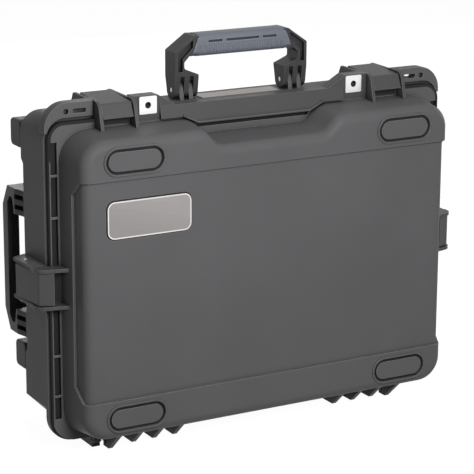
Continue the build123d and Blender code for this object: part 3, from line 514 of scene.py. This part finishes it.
def ridge(path, outs, sides, width, height, closed):
    """A rounded ridge along a path: outs point away from the surface, sides across the ridge."""
    points, faces = [], []
    for at, out, side in zip(path, outs, sides):
        for step in range(RIDGE_STEPS + 1):
            turn = math.pi * step / RIDGE_STEPS
            points.append(at + side * (width / 2 * math.cos(turn)) + out * (height * math.sin(turn)))
        points.append(at - out * (RIDGE_ROOT * height))
    ring = RIDGE_STEPS + 2
    spans = len(path) if closed else len(path) - 1
    for span in range(spans):
        here, there = span * ring, (span + 1) % len(path) * ring
        for step in range(ring):
            after = (step + 1) % ring
            faces.append((here + step, here + after, there + after, there + step))
    if not closed:
        faces.append(tuple(reversed(range(ring))))
        faces.append(tuple((len(path) - 1) * ring + step for step in range(ring)))
    return points, faces


def join_ridges(name, ridges, material, body):
    """One object from several ridges, smooth shaded, riding on a body."""
    points, faces = [], []
    for some_points, some_faces in ridges:
        faces += [tuple(len(points) + corner for corner in face) for face in some_faces]
        points += some_points
    mesh = bpy.data.meshes.new(name)
    mesh.from_pydata(points, [], faces)
    mesh.shade_smooth()
    mesh.materials.append(material)
    piece = bpy.data.objects.new(name, mesh)
    bpy.context.scene.collection.objects.link(piece)
    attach(piece, body)


def oval_path(x, z):
    """Points, outward and sideways directions round an oval groove on the lid's face."""
    radius = (OVAL_HEIGHT + BEAD_WIDTH) / 2
    run = (OVAL_LENGTH - OVAL_HEIGHT) / 2
    path, outs, sides = [], [], []
    for end, start in ((1, -90), (-1, 90)):
        for step in range(OVAL_STEPS + 1):
            turn = math.radians(start + 180 * step / OVAL_STEPS)
            side = Vector((math.cos(turn), 0, math.sin(turn)))
            path.append(Vector((x + end * run, LID_FACE, z)) + side * radius)
            outs.append(Vector((0, -1, 0)))
            sides.append(side)
    return path, outs, sides


def make_oval_beads(materials):
    """Raised bead round each oval ring groove of the lid."""
    for high, z in (("low", OVAL_LOW), ("high", OVAL_LOW + OVAL_SPAN)):
        for hand, x in (("left", -OVAL_X), ("right", OVAL_X)):
            bead = ridge(*oval_path(x, z), BEAD_WIDTH, BEAD_HEIGHT, True)
            join_ridges(f"oval_bead_{high}_{hand}", [bead], materials["case_plastic"], "lid")


def make_apron_lip(materials):
    """Rounded edge that stands out along the lower side of the apron's lip."""
    corners = [Vector((x, LIP_FACE, z)) for x, z in (
        (-LIP_SIDE[0], LIP_SIDE[1]), (-LIP_LOW[0], LIP_LOW[1]), LIP_LOW, LIP_SIDE)]
    out = Vector((0, -1, 0))
    path, sides = [], []
    for index, corner in enumerate(corners):
        ends = corners[max(index - 1, 0)], corners[min(index + 1, len(corners) - 1)]
        before = (corner - ends[0]).normalized()
        after = (ends[1] - corner).normalized()
        along = (before + after).normalized()
        side = Vector((-along.z, 0, along.x))
        path.append(corner + side * (LIP_WIDTH / 2))
        sides.append(side)
    lip = ridge(path, [out] * len(path), sides, LIP_WIDTH, LIP_HEIGHT, False)
    join_ridges("apron_lip_edge", [lip], materials["case_plastic"], "lid")


def grip_section(low, high, sign):
    """Points and outward directions down one face of the grip and round its lower edge."""
    y = low[1] if sign < 0 else high[1]
    corner = Vector((0, y - sign * GRIP_ROUND, low[2] + GRIP_ROUND))
    path, outs = [], []
    for z in (GRIP_RIB_TOP, (GRIP_RIB_TOP + corner.z) / 2):
        path.append(Vector((0, y, z)))
        outs.append(Vector((0, sign, 0)))
    for step in range(GRIP_STEPS + 1):
        turn = math.pi / 2 * step / GRIP_STEPS
        out = Vector((0, sign * math.cos(turn), -math.sin(turn)))
        path.append(corner + out * GRIP_ROUND)
        outs.append(out)
    return path, outs


def make_grip_ribs(materials):
    """Fine ribs across the lower half of the top grip, on both faces."""
    low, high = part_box("handle_grip_top")
    count = round(2 * GRIP_RIB_REACH / GRIP_RIB_PITCH)
    ridges = []
    for sign in (-1, 1):
        path, outs = grip_section(low, high, sign)
        sides = [Vector((1, 0, 0))] * len(path)
        for index in range(count + 1):
            x = -GRIP_RIB_REACH + 2 * GRIP_RIB_REACH * index / count
            moved = [point + Vector((x, 0, 0)) for point in path]
            ridges.append(ridge(moved, outs, sides, GRIP_RIB_WIDTH, GRIP_RIB_HEIGHT, False))
    join_ridges("grip_ribs", ridges, materials["grip_rubber"], "top_handle")


def area_light(name, place, size, power):
    data = bpy.data.lights.new(name, "AREA")
    data.shape = "RECTANGLE"
    data.size, data.size_y = size
    data.energy = power
    lamp = bpy.data.objects.new(name, data)
    bpy.context.scene.collection.objects.link(lamp)
    lamp.location = place
    lamp.rotation_euler = (Vector(LAMPS_AIM) - Vector(place)).to_track_quat("-Z", "Y").to_euler()


def background_rays(tree):
    """1 for camera, glossy and transmission rays and 0 for the light on the object."""
    rays = tree.nodes.new("ShaderNodeLightPath")
    kinds = ("Is Camera Ray", "Is Glossy Ray", "Is Transmission Ray")
    return either(tree, *(rays.outputs[kind] for kind in kinds))


def white_light(node, strength):
    """Makes a node give out white light, and returns its socket."""
    node.inputs["Color"].default_value = WHITE
    node.inputs["Strength"].default_value = strength
    return node.outputs[0]


def mix_shaders(tree, factor, first, second):
    """The first shader where the factor is 0, the second where it is 1."""
    mix = tree.nodes.new("ShaderNodeMixShader")
    for index, socket in enumerate((factor, first, second)):
        tree.links.new(socket, mix.inputs[index])
    return mix.outputs["Shader"]


def make_studio():
    world = bpy.data.worlds.new("studio")
    bpy.context.scene.world = world
    world.use_nodes = True
    tree = world.node_tree
    light = white_light(tree.nodes["Background"], WORLD_LEVEL)
    white = white_light(tree.nodes.new("ShaderNodeBackground"), 1.0)
    both = mix_shaders(tree, background_rays(tree), light, white)
    tree.links.new(both, tree.nodes["World Output"].inputs["Surface"])
    for name, place, size, power in LAMPS:
        area_light(name, place, size, power)


def make_floor():
    """A pale floor: it shows white where it is lit and keeps the shadow under the object."""
    mesh = bpy.data.meshes.new("floor")
    corners = [(x * FLOOR_HALF, y * FLOOR_HALF, 0) for x, y in ((-1, -1), (1, -1), (1, 1), (-1, 1))]
    mesh.from_pydata(corners, [], [(0, 1, 2, 3)])
    floor = bpy.data.objects.new("floor", mesh)
    bpy.context.scene.collection.objects.link(floor)
    floor.location.z = -FLOOR_DROP
    material, tree, shader = new_material("floor_paint", FLOOR_ROUGH)
    shader.inputs["Base Color"].default_value = (*FLOOR_COLOUR, 1.0)
    shader.inputs["Specular IOR Level"].default_value = 0.0
    paint = shader.outputs["BSDF"]
    glow = white_light(tree.nodes.new("ShaderNodeEmission"), FLOOR_GLOW)
    both = tree.nodes.new("ShaderNodeAddShader")
    tree.links.new(paint, both.inputs[0])
    tree.links.new(glow, both.inputs[1])
    solid = mix_shaders(tree, background_rays(tree), paint, both.outputs["Shader"])
    clear = tree.nodes.new("ShaderNodeBsdfTransparent").outputs["BSDF"]
    rays = tree.nodes.new("ShaderNodeLightPath")
    passed = calc(tree, "MULTIPLY", rays.outputs["Is Camera Ray"], FLOOR_CLEAR)
    surface = mix_shaders(tree, passed, solid, clear)
    tree.links.new(surface, tree.nodes["Material Output"].inputs["Surface"])
    mesh.materials.append(material)


def make_camera():
    data = bpy.data.cameras.new("photo_camera")
    data.lens = CAMERA_LENS
    data.sensor_width = CAMERA_SENSOR
    data.clip_end = CAMERA_REACH
    camera = bpy.data.objects.new("photo_camera", data)
    bpy.context.scene.collection.objects.link(camera)
    camera.location = CAMERA_AT
    aim = Euler((math.radians(90.0 - CAMERA_PITCH), 0.0, -math.radians(CAMERA_YAW))).to_matrix()
    camera.rotation_euler = (aim @ Matrix.Rotation(math.radians(CAMERA_ROLL), 3, "Z")).to_euler()
    bpy.context.scene.camera = camera


bpy.context.scene.view_settings.view_transform = "Standard"
materials = make_materials()
dress_nodes(materials)
make_oval_beads(materials)
make_apron_lip(materials)
make_grip_ribs(materials)
make_studio()
make_floor()
make_camera()
